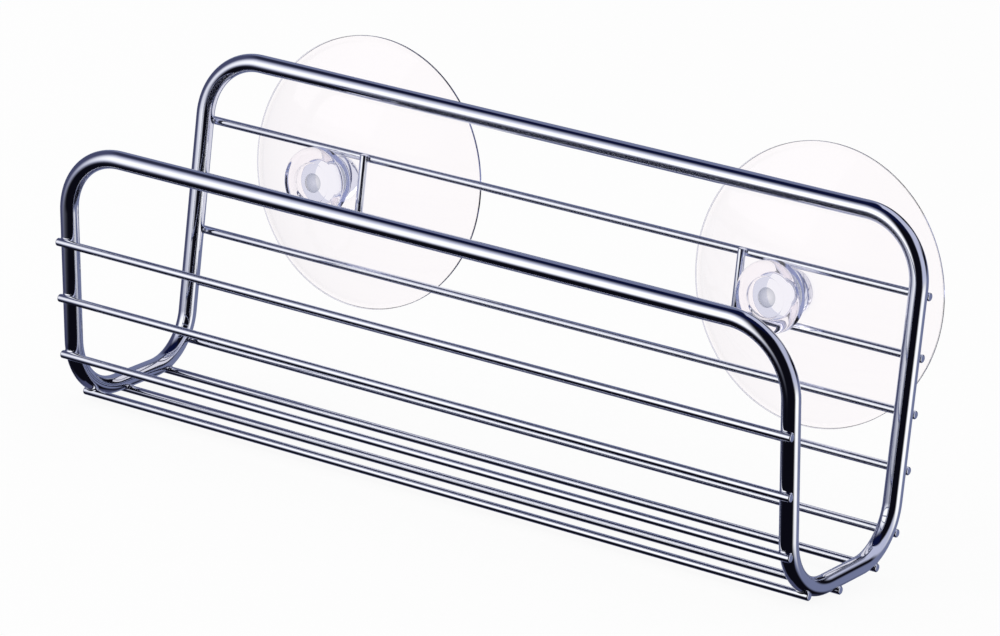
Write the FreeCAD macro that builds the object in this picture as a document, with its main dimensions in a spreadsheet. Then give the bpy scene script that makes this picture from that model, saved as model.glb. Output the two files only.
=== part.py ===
# Wall sponge holder: a basket of plated steel wire that hangs on two clear suction cups.
# Millimetres. +X runs along the basket, +Y points at the wall, +Z is up. The origin is on the
# wall, midway between the axes of the two cups.

import FreeCAD, Part
import Sketcher
import math
import os

# Driving sizes. Lengths are in millimetres and sizes that end in angle are in degrees.
SIZES = {
    # Basket frame: one closed loop of thick wire, measured along the centre of the wire.
    "frame_wire": 4.5,
    "leg_spacing": 206.0,
    "rear_height": 77.4,
    "front_height": 59.3,
    "front_depth": 53.4,
    "floor_depth": 41.7,
    "floor_drop": 4.8,
    "front_bend": 16.5,
    "rear_bend": 13.3,
    "front_corner": 16.3,
    "rear_corner": 15.5,
    # Rails: thin wires that are welded to the outside of the frame and sink into it a little.
    "rail_wire": 2.0,
    "rail_overhang": 2.0,
    "rail_end_round": 0.3,
    "weld_depth": 0.8,
    "front_rail_drop": 23.9,
    "front_rail_pitch": 14.5,
    "front_low_turn_angle": 10.5,
    "floor_front_turn_angle": 56.3,
    "floor_middle_run": 4.0,
    "floor_rear_turn_angle": 18.3,
    "back_low_turn_angle": 55.8,
    "back_rail_pitch": 13.3,
    "cup_rail_drop": 17.2,
    # Stops: short upright wires on the inner side of the two cup rails.
    "stop_weld_depth": 0.5,
    "stop_gap": 4.6,
    # Suction cups: sizes along the cup are counted from the wall.
    "cup_spacing": 131.4,
    "cup_diameter": 68.0,
    "rim_land": 1.5,
    "rim_thickness": 0.8,
    "hollow_depth": 8.0,
    "dish_height": 10.0,
    "dish_root_round": 2.0,
    "neck_diameter": 10.8,
    "neck_length": 9.8,
    "neck_play": 1.7,
    "slide_clearance": 0.3,
    "head_play": 2.1,
    "head_diameter": 17.4,
    "head_thickness": 4.0,
    "head_face_round": 1.4,
    "head_back_round": 0.8,
    "head_recess_diameter": 10.0,
    "head_recess_depth": 0.7,
    "head_dimple_diameter": 4.6,
    "head_dimple_depth": 0.6,
}


class Size:
    """A value together with the formula that gives it from the sheet of sizes."""

    def __init__(self, formula, value):
        self.formula = formula
        self.value = value

    def __add__(self, other):
        return Size(f"({self.formula} + {other.formula})", self.value + other.value)

    def __sub__(self, other):
        return Size(f"({self.formula} - {other.formula})", self.value - other.value)

    def __mul__(self, other):
        return Size(f"({self.formula} * {other.formula})", self.value * other.value)

    def __truediv__(self, other):
        return Size(f"({self.formula} / {other.formula})", self.value / other.value)

    def __neg__(self):
        return Size(f"(-1 * {self.formula})", -self.value)


def half(size):
    return Size(f"({size.formula} / 2)", size.value / 2)


def degrees(count):
    return Size(f"({count} deg)", count)


def sine(angle):
    return Size(f"sin({angle.formula})", math.sin(math.radians(angle.value)))


def cosine(angle):
    return Size(f"cos({angle.formula})", math.cos(math.radians(angle.value)))


def tangent(angle):
    return Size(f"tan({angle.formula})", math.tan(math.radians(angle.value)))


def slope_angle(rise, run):
    ratio = rise / run
    return Size(f"atan({ratio.formula})", math.degrees(math.atan(ratio.value)))


def square_root(area):
    return Size(f"sqrt({area.formula})", math.sqrt(area.value))


def dome_radius(edge_radius, rise):
    """Radius of the ball whose cap has this edge and this rise."""
    return half(edge_radius * edge_radius / rise + rise)


ZERO = Size("0", 0.0)
ONE = Size("1", 1.0)
QUARTER_TURN = degrees(90)
HALF_TURN = degrees(180)
THREE_QUARTER_TURN = degrees(270)
FULL_TURN = degrees(360)

doc = FreeCAD.newDocument("sponge_holder")
sheet = doc.addObject("Spreadsheet::Sheet", "sizes")
for row, (alias, number) in enumerate(SIZES.items(), start=1):
    sheet.set(f"A{row}", alias)
    sheet.set(f"B{row}", str(number))
    sheet.setAlias(f"B{row}", alias)
doc.recompute()


def size(alias):
    """A driving length from the sheet."""
    return Size(f"sizes.{alias}", float(sheet.get(alias)))


def angle(alias):
    """A driving angle from the sheet."""
    return Size(f"(sizes.{alias} * 1 deg)", float(sheet.get(alias)))


# Places in the end view of the basket, as (Y, Z) pairs. The centre line of the rear leg and the
# line of the floor meet at the rear corner.
half_spacing = half(size("leg_spacing"))
frame_radius = half(size("frame_wire"))
rail_radius = half(size("rail_wire"))
neck_radius = half(size("neck_diameter"))
head_radius = half(size("head_diameter"))
rail_offset = frame_radius + rail_radius - size("weld_depth")

# The gap between the cup rails takes the neck of a cup with some play, and the neck lies just
# above the lower rail.
cup_rail_pitch = size("neck_diameter") + size("neck_play") + size("rail_wire")
cup_rail_upper_height = size("rear_height") - size("cup_rail_drop")
cup_rail_lower_height = cup_rail_upper_height - cup_rail_pitch
cup_axis_height = cup_rail_lower_height + rail_radius + size("slide_clearance") + neck_radius

# The back of the head lies in front of the rails with some play, which sets the basket's
# distance from the wall.
head_back = size("dish_height") + size("neck_length")
wall_gap = head_back + rail_offset - rail_radius - size("head_play")

rear_corner_point = (-wall_gap, -cup_axis_height)
floor_angle = slope_angle(size("floor_drop"), size("floor_depth"))
lean_angle = slope_angle(size("front_depth") - size("floor_depth"), size("front_height") + size("floor_drop"))
front_leg = (size("front_height") + size("floor_drop")) / cosine(lean_angle)
up_front_leg = (-sine(lean_angle), cosine(lean_angle))
out_of_front_leg = (-cosine(lean_angle), -sine(lean_angle))
along_floor = (-cosine(floor_angle), -sine(floor_angle))
out_of_floor = (sine(floor_angle), -cosine(floor_angle))
up_rear_leg = (ZERO, ONE)
out_of_rear_leg = (ONE, ZERO)


def moved(point, direction, distance):
    """The point a distance away in a direction of the end view."""
    return (point[0] + direction[0] * distance, point[1] + direction[1] * distance)


front_corner_point = (rear_corner_point[0] - size("floor_depth"), rear_corner_point[1] - size("floor_drop"))
rear_bend_reach = size("rear_bend") * tangent(half(QUARTER_TURN - floor_angle))
front_bend_reach = size("front_bend") * tangent(half(QUARTER_TURN - lean_angle + floor_angle))

rear_leg_top = moved(rear_corner_point, up_rear_leg, size("rear_height") - size("rear_corner"))
rear_leg_foot = moved(rear_corner_point, up_rear_leg, rear_bend_reach)
rear_bend_centre = moved(rear_leg_foot, out_of_rear_leg, -size("rear_bend"))
floor_rear_end = moved(rear_corner_point, along_floor, rear_bend_reach)
floor_front_end = moved(front_corner_point, along_floor, -front_bend_reach)
front_leg_foot = moved(front_corner_point, up_front_leg, front_bend_reach)
front_bend_centre = moved(front_leg_foot, out_of_front_leg, -size("front_bend"))
front_leg_top = moved(front_corner_point, up_front_leg, front_leg - size("front_corner"))
front_bar = moved(front_corner_point, up_front_leg, front_leg)
rear_bar = moved(rear_corner_point, up_rear_leg, size("rear_height"))


def beside_leg(point, up, out, climb):
    """The centre of a rail on the outside of a straight stretch, a climb above a point of it."""
    return moved(moved(point, up, climb), out, rail_offset)


def beside_bend(centre, radius, turn):
    """The centre of a rail on the outside of a bend, in the direction of turn from its centre."""
    return moved(centre, (cosine(turn), sine(turn)), radius + rail_offset)


def bind(thing, path, value):
    """Give a property, or a member of one, its formula."""
    thing.setExpression(path, value.formula)


def new_body(label):
    body = doc.addObject("PartDesign::Body", label)
    body.Label = label
    return body


def origin_plane(body, role):
    """One of the body's own origin planes."""
    return [feature for feature in body.Origin.OriginFeatures if feature.Role == role][0]


def sketch_on(body, role, name):
    """A sketch on one of the body's own origin planes."""
    sketch = body.newObject("Sketcher::SketchObject", name)
    sketch.AttachmentSupport = (origin_plane(body, role), "")
    sketch.MapMode = "FlatFace"
    return sketch


# Numbers that the sketcher gives to its origin, to its two axes and to the points of an element.
ORIGIN = (-1, 1)
LEVEL_AXIS, UPRIGHT_AXIS = range(-1, -3, -1)
AXES = {"DistanceX": UPRIGHT_AXIS, "DistanceY": LEVEL_AXIS}
START, END, CENTRE = range(1, 4)


def set_distance(sketch, kind, point, value):
    """Hold a sketch point at a signed distance from the sketch's origin."""
    if value is ZERO:
        sketch.addConstraint(Sketcher.Constraint("PointOnObject", *point, AXES[kind]))
        return
    ends = ORIGIN + point if value.value > 0 else point + ORIGIN
    length = value if value.value > 0 else -value
    index = sketch.addConstraint(Sketcher.Constraint(kind, *ends, length.value))
    bind(sketch, f"Constraints[{index}]", length)


def locate(sketch, point, place):
    set_distance(sketch, "DistanceX", point, place[0])
    set_distance(sketch, "DistanceY", point, place[1])


def vector(place):
    return FreeCAD.Vector(place[0].value, place[1].value, 0)


def bend_arc(start, end, centre, radius):
    """The arc from start to end about centre, and the numbers of its first and last point."""
    first = vector(start) - vector(centre)
    last = vector(end) - vector(centre)
    circle = Part.Circle(vector(centre), FreeCAD.Vector(0, 0, 1), radius.value)
    turns_left = first.cross(last).z > 0
    from_point, to_point = (first, last) if turns_left else (last, first)
    arc = Part.ArcOfCircle(circle, math.atan2(from_point.y, from_point.x), math.atan2(to_point.y, to_point.x))
    return arc, (START, END) if turns_left else (END, START)


def trace(sketch, start, steps, closed=False):
    """Draw straight runs and bends from start. A step is (end,) or (end, bend centre, radius)."""
    place = start
    previous = None
    opening = None
    for count, step in enumerate(steps):
        end = step[0]
        if len(step) == 1:
            geometry, (first, last) = Part.LineSegment(vector(place), vector(end)), (START, END)
        else:
            geometry, (first, last) = bend_arc(place, end, step[1], step[2])
        index = sketch.addGeometry(geometry, False)
        if len(step) > 1:
            radius = sketch.addConstraint(Sketcher.Constraint("Radius", index, step[2].value))
            bind(sketch, f"Constraints[{radius}]", step[2])
        if previous is None:
            opening = (index, first)
            locate(sketch, opening, start)
        else:
            sketch.addConstraint(Sketcher.Constraint("Coincident", *previous, index, first))
        previous = (index, last)
        if closed and count == len(steps) - 1:
            sketch.addConstraint(Sketcher.Constraint("Coincident", *previous, *opening))
        else:
            locate(sketch, previous, end)
        place = end


def draw_wire_section(sketch, radius):
    """Draw the round section of a wire about the sketch's origin."""
    circle = Part.Circle(FreeCAD.Vector(0, 0, 0), FreeCAD.Vector(0, 0, 1), radius.value)
    index = sketch.addGeometry(circle, False)
    sketch.addConstraint(Sketcher.Constraint("Coincident", index, CENTRE, *ORIGIN))
    limit = sketch.addConstraint(Sketcher.Constraint("Radius", index, radius.value))
    bind(sketch, f"Constraints[{limit}]", radius)


def wire_along(body, path, name):
    """Carry the round section of the frame wire along the whole of a path sketch."""
    doc.recompute()
    ring = body.newObject("Sketcher::SketchObject", f"{name}_section")
    ring.AttachmentSupport = [(path, "Edge1"), (path, "Vertex1")]
    ring.MapMode = "NormalToEdge"
    draw_wire_section(ring, frame_radius)
    doc.recompute()
    pipe = body.newObject("PartDesign::AdditivePipe", name)
    pipe.Profile = ring
    pipe.Spine = (path, [f"Edge{edge}" for edge in range(1, len(path.Shape.Edges) + 1)])
    doc.recompute()
    return pipe


def top_bar_steps(height, corner):
    """The rounded top of a panel from its left leg to its right leg, as (X, height) places."""
    shoulder = half_spacing - corner
    foot = height - corner
    start = (-half_spacing, foot)
    steps = [
        ((-shoulder, height), (-shoulder, foot), corner),
        ((shoulder, height),),
        ((half_spacing, foot), (shoulder, foot), corner),
    ]
    return start, steps


def make_basket_frame():
    """The closed loop: two bent ends, and the rounded tops of the rear and the front panel."""
    body = new_body("basket_frame")
    end_path = sketch_on(body, "YZ_Plane", "end_path")
    bind(end_path, "AttachmentOffset.Base.z", half_spacing)
    end_steps = [
        (rear_leg_foot,),
        (floor_rear_end, rear_bend_centre, size("rear_bend")),
        (floor_front_end,),
        (front_leg_foot, front_bend_centre, size("front_bend")),
        (front_leg_top,),
    ]
    trace(end_path, rear_leg_top, end_steps)
    right_end = wire_along(body, end_path, "right_end")

    left_end = body.newObject("PartDesign::Mirrored", "left_end")
    left_end.Originals = [right_end]
    left_end.MirrorPlane = (origin_plane(body, "YZ_Plane"), [""])
    body.Tip = left_end
    doc.recompute()

    rear_path = sketch_on(body, "XZ_Plane", "rear_path")
    bind(rear_path, "AttachmentOffset.Base.z", -rear_bar[0])
    trace(rear_path, *top_bar_steps(rear_bar[1], size("rear_corner")))
    wire_along(body, rear_path, "rear_top")

    front_path = sketch_on(body, "XZ_Plane", "front_path")
    lean = FreeCAD.Rotation(FreeCAD.Vector(1, 0, 0), lean_angle.value)
    front_path.AttachmentOffset = FreeCAD.Placement(FreeCAD.Vector(0, 0, 0), lean)
    bind(front_path, "AttachmentOffset.Base.y", front_corner_point[1])
    bind(front_path, "AttachmentOffset.Base.z", -front_corner_point[0])
    bind(front_path, "AttachmentOffset.Rotation.Angle", lean_angle)
    trace(front_path, *top_bar_steps(front_leg, size("front_corner")))
    wire_along(body, front_path, "front_top")
    return body


def round_wire(label, role, length):
    """A straight round wire with rounded ends, centred on the origin and square to a plane."""
    body = new_body(label)
    section = sketch_on(body, role, f"{label}_section")
    draw_wire_section(section, rail_radius)
    pad = body.newObject("PartDesign::Pad", f"{label}_length")
    pad.Profile = section
    pad.Midplane = True
    bind(pad, "Length", length)
    doc.recompute()
    ends = body.newObject("PartDesign::Fillet", f"{label}_ends")
    rims = [f"Edge{count}" for count, edge in enumerate(pad.Shape.Edges, start=1) if edge.Closed]
    ends.Base = (pad, rims)
    bind(ends, "Radius", size("rail_end_round"))
    doc.recompute()
    return body


def place_at(thing, place):
    """Set an object's origin to an (X, Y, Z) place."""
    for member, value in zip("xyz", place):
        bind(thing, f"Placement.Base.{member}", value)


def welded(label, wire, *carriers):
    """The wire with saddles where it sinks onto the wires that carry it."""
    result = wire
    for count, carrier in enumerate(carriers, start=1):
        saddle = doc.addObject("Part::Cut", f"{label}_saddle_{count}")
        saddle.Base = result
        saddle.Tool = carrier
        result = saddle
    result.Label = label
    return result


def rail_places():
    """The centre of each rail in the end view, from the front top bar round to the rear one."""
    front_bend_start = HALF_TURN + lean_angle
    rear_bend_start = THREE_QUARTER_TURN + floor_angle
    front_bend = (front_bend_centre, size("front_bend"))
    rear_bend = (rear_bend_centre, size("rear_bend"))
    down_front = -size("front_rail_drop")
    down_rear = -size("cup_rail_drop") - cup_rail_pitch
    pitch = size("back_rail_pitch")
    rear_leg = (rear_bar, up_rear_leg, out_of_rear_leg)
    return {
        "front_rail_top": beside_leg(front_bar, up_front_leg, out_of_front_leg, down_front),
        "front_rail_middle": beside_leg(
            front_bar, up_front_leg, out_of_front_leg, down_front - size("front_rail_pitch")
        ),
        "front_rail_low": beside_bend(*front_bend, front_bend_start + angle("front_low_turn_angle")),
        "floor_rail_front": beside_bend(*front_bend, front_bend_start + angle("floor_front_turn_angle")),
        "floor_rail_middle": beside_leg(
            floor_front_end, along_floor, out_of_floor, -size("floor_middle_run")
        ),
        "floor_rail_rear": beside_bend(*rear_bend, rear_bend_start + angle("floor_rear_turn_angle")),
        "back_rail_low": beside_bend(*rear_bend, rear_bend_start + angle("back_low_turn_angle")),
        "back_rail_second": beside_leg(*rear_leg, down_rear - pitch - pitch),
        "back_rail_middle": beside_leg(*rear_leg, down_rear - pitch),
        "cup_rail_lower": beside_leg(*rear_leg, down_rear),
        "cup_rail_upper": beside_leg(*rear_leg, -size("cup_rail_drop")),
    }


def make_rails(frame):
    """The long rails, each sunk onto the legs or bends of the frame that it crosses."""
    length = size("leg_spacing") + size("rail_overhang") + size("rail_overhang")
    rails = {}
    for label, (across, up) in rail_places().items():
        wire = round_wire(f"{label}_wire", "YZ_Plane", length)
        place_at(wire, (ZERO, across, up))
        rails[label] = welded(label, wire, frame)
    return rails


def make_cup_stops(rails):
    """The upright wires that keep the neck of each cup from sliding inwards."""
    length = cup_rail_pitch + size("rail_wire")
    across = -wall_gap + rail_offset - size("rail_wire") + size("stop_weld_depth")
    up = cup_rail_lower_height + half(cup_rail_pitch) - cup_axis_height
    out = half(size("cup_spacing")) - neck_radius - size("stop_gap") - rail_radius
    stops = []
    for label, along in (("cup_stop_left", -out), ("cup_stop_right", out)):
        wire = round_wire(f"{label}_wire", "XY_Plane", length)
        place_at(wire, (along, across, up))
        stops.append(welded(label, wire, rails["cup_rail_upper"], rails["cup_rail_lower"]))
    return stops


rim_radius = half(size("cup_diameter"))
dish_radius = dome_radius(rim_radius, size("dish_height") - size("rim_thickness"))
dish_centre = dish_radius - size("dish_height")
neck_root = square_root(dish_radius * dish_radius - neck_radius * neck_radius) - dish_centre
head_face = head_back + size("head_thickness")


def cup_outline():
    """Half of the cup's section, as (distance into the wall, distance from the axis) places."""
    land_radius = rim_radius - size("rim_land")
    recess_radius = half(size("head_recess_diameter"))
    recess_floor = head_face - size("head_recess_depth")
    dimple_radius = half(size("head_dimple_diameter"))
    dimple_floor = recess_floor - size("head_dimple_depth")
    hollow_radius = dome_radius(land_radius, size("hollow_depth"))
    hollow_centre = hollow_radius - size("hollow_depth")
    start = (-size("hollow_depth"), ZERO)
    steps = [
        ((ZERO, land_radius), (hollow_centre, ZERO), hollow_radius),
        ((ZERO, rim_radius),),
        ((-size("rim_thickness"), rim_radius),),
        ((-neck_root, neck_radius), (dish_centre, ZERO), dish_radius),
        ((-head_back, neck_radius),),
        ((-head_back, head_radius),),
        ((-head_face, head_radius),),
        ((-head_face, recess_radius),),
        ((-recess_floor, recess_radius),),
        ((-recess_floor, dimple_radius),),
        ((-dimple_floor, dimple_radius),),
        ((-dimple_floor, ZERO),),
        (start,),
    ]
    return start, steps


def circle_edges(shape, radius, depth):
    """Names of the round edges of a radius that lie a depth in front of the wall."""
    names = []
    for count, edge in enumerate(shape.Edges, start=1):
        if edge.Degenerated or not isinstance(edge.Curve, Part.Circle):
            continue
        same_radius = math.isclose(edge.Curve.Radius, radius.value, rel_tol=1e-6)
        same_depth = math.isclose(edge.Curve.Center.y, -depth.value, rel_tol=1e-6)
        if same_radius and same_depth:
            names.append(f"Edge{count}")
    return names


def make_suction_cup(label, along):
    """One soft moulding: a dish, a neck that passes between the cup rails, and a head."""
    body = new_body(label)
    section = sketch_on(body, "YZ_Plane", f"{label}_section")
    trace(section, *cup_outline(), closed=True)
    solid = body.newObject("PartDesign::Revolution", f"{label}_solid")
    solid.Profile = section
    solid.ReferenceAxis = (section, ["H_Axis"])
    bind(solid, "Angle", FULL_TURN)
    doc.recompute()
    rounds = [
        ("face", head_radius, head_face, size("head_face_round")),
        ("back", head_radius, head_back, size("head_back_round")),
        ("root", neck_radius, neck_root, size("dish_root_round")),
    ]
    base = solid
    for name, radius, depth, amount in rounds:
        rounding = body.newObject("PartDesign::Fillet", f"{label}_{name}_round")
        rounding.Base = (base, circle_edges(base.Shape, radius, depth))
        bind(rounding, "Radius", amount)
        doc.recompute()
        base = rounding
    bind(body, "Placement.Base.x", along)
    return body


def main():
    frame = make_basket_frame()
    rails = make_rails(frame)
    stops = make_cup_stops(rails)
    cup_out = half(size("cup_spacing"))
    cups = [make_suction_cup("suction_cup_left", -cup_out), make_suction_cup("suction_cup_right", cup_out)]
    doc.recompute()

    pieces = [frame, *rails.values(), *stops, *cups]
    for thing in doc.Objects:
        if "Invalid" in thing.State or "Error" in thing.State:
            raise RuntimeError(f"{thing.Label} failed: {thing.getStatusString()}")
    for piece in pieces:
        if piece.Shape.isNull() or not piece.Shape.isValid() or len(piece.Shape.Solids) != 1:
            raise RuntimeError(f"{piece.Label} is not one valid solid")

    os.makedirs("parts", exist_ok=True)
    for piece in pieces:
        piece.Shape.exportStep(f"parts/{piece.Label}.step")
        print(f"{piece.Label}: {piece.Shape.Volume:.1f} cubic millimetres")


main()
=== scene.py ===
"""Looks of the sponge holder: a basket of plated wire that hangs on two clear suction cups.

Every piece is a surface worked out with numpy in metres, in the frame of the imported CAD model. The origin
is on the wall midway between the cups, +Y points at the wall and +Z is up.
"""

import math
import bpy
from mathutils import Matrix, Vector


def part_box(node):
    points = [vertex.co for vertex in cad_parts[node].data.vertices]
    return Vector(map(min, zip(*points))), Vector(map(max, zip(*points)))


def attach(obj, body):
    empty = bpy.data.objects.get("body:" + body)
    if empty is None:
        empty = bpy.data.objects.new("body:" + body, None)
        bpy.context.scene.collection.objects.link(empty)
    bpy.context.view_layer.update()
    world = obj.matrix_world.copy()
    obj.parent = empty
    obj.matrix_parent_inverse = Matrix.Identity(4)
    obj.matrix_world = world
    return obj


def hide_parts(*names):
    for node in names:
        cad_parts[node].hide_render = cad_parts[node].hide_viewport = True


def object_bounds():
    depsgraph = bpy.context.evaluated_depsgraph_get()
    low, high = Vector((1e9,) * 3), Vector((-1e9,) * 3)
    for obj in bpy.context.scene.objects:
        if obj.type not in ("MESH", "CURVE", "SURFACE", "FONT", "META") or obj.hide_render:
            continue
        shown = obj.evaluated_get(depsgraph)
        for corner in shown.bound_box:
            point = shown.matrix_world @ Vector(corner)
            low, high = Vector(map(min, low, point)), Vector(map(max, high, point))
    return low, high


bl_info = {
    "name": "Sponge holder",
    "version": (1, 0, 0),
    "blender": (4, 5, 0),
    "location": "3D View > Sidebar > Sponge holder",
    "description": "Builds a plated wire sponge holder with suction cups and its studio stage",
    "category": "Object",
}

import bpy
import numpy as np
from bpy.props import FloatProperty, FloatVectorProperty, PointerProperty
from mathutils import Matrix

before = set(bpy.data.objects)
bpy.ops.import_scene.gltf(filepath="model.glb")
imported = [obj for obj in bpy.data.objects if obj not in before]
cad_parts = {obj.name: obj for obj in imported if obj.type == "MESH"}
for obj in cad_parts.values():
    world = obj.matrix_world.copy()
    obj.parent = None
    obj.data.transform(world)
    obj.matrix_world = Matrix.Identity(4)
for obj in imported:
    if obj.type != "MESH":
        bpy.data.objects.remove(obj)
CAD_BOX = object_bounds()

# How far a piece may differ from the box of its CAD node, and how near two points count as one, in metres
FIT = 0.0002
SAME_POINT = 1e-7

# How finely the surfaces are divided
FRAME_COLUMNS = 56
BEND_STEPS = 25
THIN_COLUMNS = 32
END_STEPS = 7
WELD_COLUMNS = 56
WELD_STEPS = 9
CUP_COLUMNS = 144
CUP_ARC_STEPS = 18
SEARCH_STEPS = 400

# Shares of a weld's reach: how far its edges are sunk, how deep its root lies, and its size on a stop
WELD_SINK = 0.12
WELD_ROOT = 0.9
STOP_WELD = 0.7

# Roundings on the head in fine edge roundings: neck end, recess edge and foot, dimple edge and foot
HEAD_EDGES = (3, 1.5, 2.8, 1.2, 2.4)

# How dull the middle of the dimple is beside its wall, and how dark its painted shade is there
GATE_MIDDLE = 0.3

# Bounces inside plastic from which and by which the white turns violet
VIOLET_BOUNCES = (0.5, 2.0)

# The floor's half width in metres and its lines each way, and the light tent's lines and highest rise
FLOOR_REACH = 4.0
FLOOR_LINES = 9
TENT_TURNS = 181
TENT_RISES = 121
TENT_TOP = 89.9

X_AXIS = np.array([1.0, 0.0, 0.0])
Z_AXIS = np.array([0.0, 0.0, 1.0])
OUT_OF_WALL = np.array([0.0, -1.0, 0.0])

# Corners of the frame's right end in order: rear top, rear bottom, front bottom, front top
RIGHT_END = [7, 0, 1, 2]

RAILS = (
    "front_rail_top",
    "front_rail_middle",
    "front_rail_low",
    "floor_rail_front",
    "floor_rail_middle",
    "floor_rail_rear",
    "back_rail_low",
    "back_rail_second",
    "back_rail_middle",
    "cup_rail_lower",
    "cup_rail_upper",
)
STOPS = ("cup_stop_left", "cup_stop_right")
CUPS = {"suction_cup_left": "left_cup", "suction_cup_right": "right_cup"}


def length(name, default, description):
    """A size in metres that a user may change."""
    return FloatProperty(
        name=name, description=description, default=default, min=0.00005, precision=5, unit="LENGTH"
    )


def turn(name, default, description):
    """An angle that a user may change, with its default in degrees."""
    return FloatProperty(name=name, description=description, default=math.radians(default), subtype="ANGLE")


def colour(name, default, description):
    """A colour that a user may change."""
    return FloatVectorProperty(
        name=name, description=description, default=default, size=3, min=0.0, max=1.0, subtype="COLOR"
    )


def share(name, default, description):
    """A plain number from nought to one that a user may change."""
    return FloatProperty(name=name, description=description, default=default, min=0.0, max=1.0)


class SpongeHolderWire(bpy.types.PropertyGroup):
    """Sizes and finish of the wires."""

    frame_wire: length("Frame wire", 0.0045, "Diameter of the thick wire")
    rear_height: length("Rear height", 0.0774, "From the rear bottom corner up to the rear top bar")
    front_height: length("Front height", 0.0593, "From the rear bottom corner up to the front top bar")
    floor_depth: length("Floor depth", 0.0417, "From the rear plane to the front bottom corner")
    floor_drop: length("Floor drop", 0.0048, "How much lower the front bottom corner lies")
    front_bend: length("Front bend", 0.0165, "Radius of the bottom bends at the front")
    rear_bend: length("Rear bend", 0.0133, "Radius of the bottom bends at the rear")
    front_corner: length("Front corner", 0.0163, "Radius of the top corners of the front panel")
    rear_corner: length("Rear corner", 0.0155, "Radius of the top corners of the rear panel")
    end_round: length("End round", 0.0003, "Rounding of the ends of the thin wires")
    weld_reach: length("Weld reach", 0.00055, "How far a weld spreads over each of its two wires")
    plating: colour("Plating", (0.86, 0.87, 0.91), "Colour of the polished plating")
    polish: share("Polish", 0.045, "Roughness of the plating where it is clean")
    mark_dulling: share("Mark dulling", 0.05, "How much rougher the plating is where it is marked")
    mark_shade: share("Mark shade", 0.94, "How bright the plating stays where it is marked")


class SpongeHolderCup(bpy.types.PropertyGroup):
    """Sizes and finish of the suction cups."""

    rim_land: length("Rim land", 0.0015, "Width of the flat ring that meets the wall")
    rim_thickness: length("Rim thickness", 0.0008, "Thickness of the dish at its rim")
    hollow_depth: length("Hollow depth", 0.008, "Depth of the hollow behind the dish")
    dish_height: length("Dish height", 0.010, "Height of the dish on its axis")
    neck_diameter: length("Neck", 0.0108, "Diameter of the neck")
    neck_length: length("Neck length", 0.0098, "From the dish to the back of the head")
    head_diameter: length("Head", 0.0174, "Diameter of the head")
    root_round: length("Root round", 0.002, "Rounding where the neck leaves the dish")
    face_round: length("Face round", 0.0014, "Rounding of the front edge of the head")
    back_round: length("Back round", 0.0008, "Rounding of the rear edge of the head")
    edge_round: length("Edge round", 0.00016, "Rounding of the fine moulded edges")
    recess_diameter: length("Recess", 0.010, "Diameter of the recess in the face of the head")
    recess_depth: length("Recess depth", 0.0007, "Depth of that recess")
    dimple_diameter: length("Dimple", 0.0046, "Diameter of the dimple in the middle of the recess")
    dimple_depth: length("Dimple depth", 0.0006, "Depth of that dimple below the recess")
    tint: colour("Tint", (1.0, 0.971, 0.978), "Colour of the clear plastic's skin")
    # Painted shade: the skin in the dimple is mixed towards this dark grey, most at the dimple's wall, on top
    # of its dull gate mark
    gate_shade_tint: colour("Gate tint", (0.32, 0.34, 0.39), "Colour of the dull mark in the dimple")
    depth_tint: colour("Depth tint", (0.72, 0.74, 0.92), "Colour that thick plastic takes on")
    depth_density: FloatProperty(
        name="Depth density", description="How fast thick plastic takes on its tint", default=20.0, min=0.0
    )
    refraction: FloatProperty(
        name="Refraction", description="How strongly the plastic bends light", default=1.3, min=1.0
    )
    reflection: share("Reflection", 0.5, "Strength of the reflections on the plastic")
    gloss: share("Gloss", 0.03, "Roughness of the clear plastic where it is clean")
    mark_dulling: share("Mark dulling", 0.04, "How much rougher the plastic is where it is marked")
    gate_dulling: share("Gate dulling", 0.25, "How much rougher the plastic is in the dimple")


class SpongeHolderStage(bpy.types.PropertyGroup):
    """The floor, the room, the light tent that the metal and plastic reflect, and the camera."""

    floor: colour("Floor", (0.93, 0.93, 0.93), "Colour of the floor")
    floor_glow: share("Floor white", 0.91, "How far the floor is lifted to the white of the background")
    # Painted reflections: the tent's panels glow by themselves and are seen only in reflections, and their
    # white is not light from a lamp
    white: colour("White panel", (1.0, 1.0, 1.0), "Panels of the light tent with a lamp behind them")
    lavender: colour("Lavender panel", (0.44, 0.46, 0.60), "Panels round and above the white ones")
    slate: colour("Slate panel", (0.15, 0.17, 0.28), "Panels on the wall's side")
    dim: colour("Dim panel", (0.055, 0.06, 0.12), "Panels at the far left and low behind it")
    navy: colour("Navy panel", (0.003, 0.005, 0.030), "The roof of the light tent")
    black: colour("Black panel", (0.003, 0.003, 0.006), "The rest of the light tent")
    tent_radius: length("Tent radius", 0.55, "Radius of the light tent")
    tent_level: FloatProperty(
        name="Tent level", description="Brightness of the light tent's white", default=1.2, min=0.0
    )
    violet: colour("Violet depth", (0.31, 0.36, 0.58), "What white light turns to inside thick plastic")
    room_light: share("Room light", 0.8, "Strength of the room's white as light")
    view_turn: turn("View turn", 33.747, "How far the camera stands round to the right")
    view_rise: turn("View rise", 13.314, "How far the camera looks down")
    view_roll: turn("View roll", 5.979, "How far the camera is tilted on its own axis")
    view_distance: FloatProperty(
        name="View distance", description="From the camera to its target", default=1.2957, unit="LENGTH"
    )
    view_target: FloatVectorProperty(
        name="View target",
        description="The point that the camera looks at",
        default=(0.00797, -0.04567, -0.01451),
        size=3,
        subtype="XYZ_LENGTH",
    )


def unit(vectors):
    """Each vector divided by its own length."""
    return vectors / np.linalg.norm(vectors, axis=-1, keepdims=True)


def turned(vectors, axes, angles):
    """Vectors turned about axes: v cos a + (axis x v) sin a + axis (axis . v)(1 - cos a)."""
    cosine = np.cos(angles)[..., None]
    sine = np.sin(angles)[..., None]
    along = (vectors * axes).sum(-1, keepdims=True)
    return vectors * cosine + np.cross(axes, vectors) * sine + axes * along * (1 - cosine)


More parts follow.
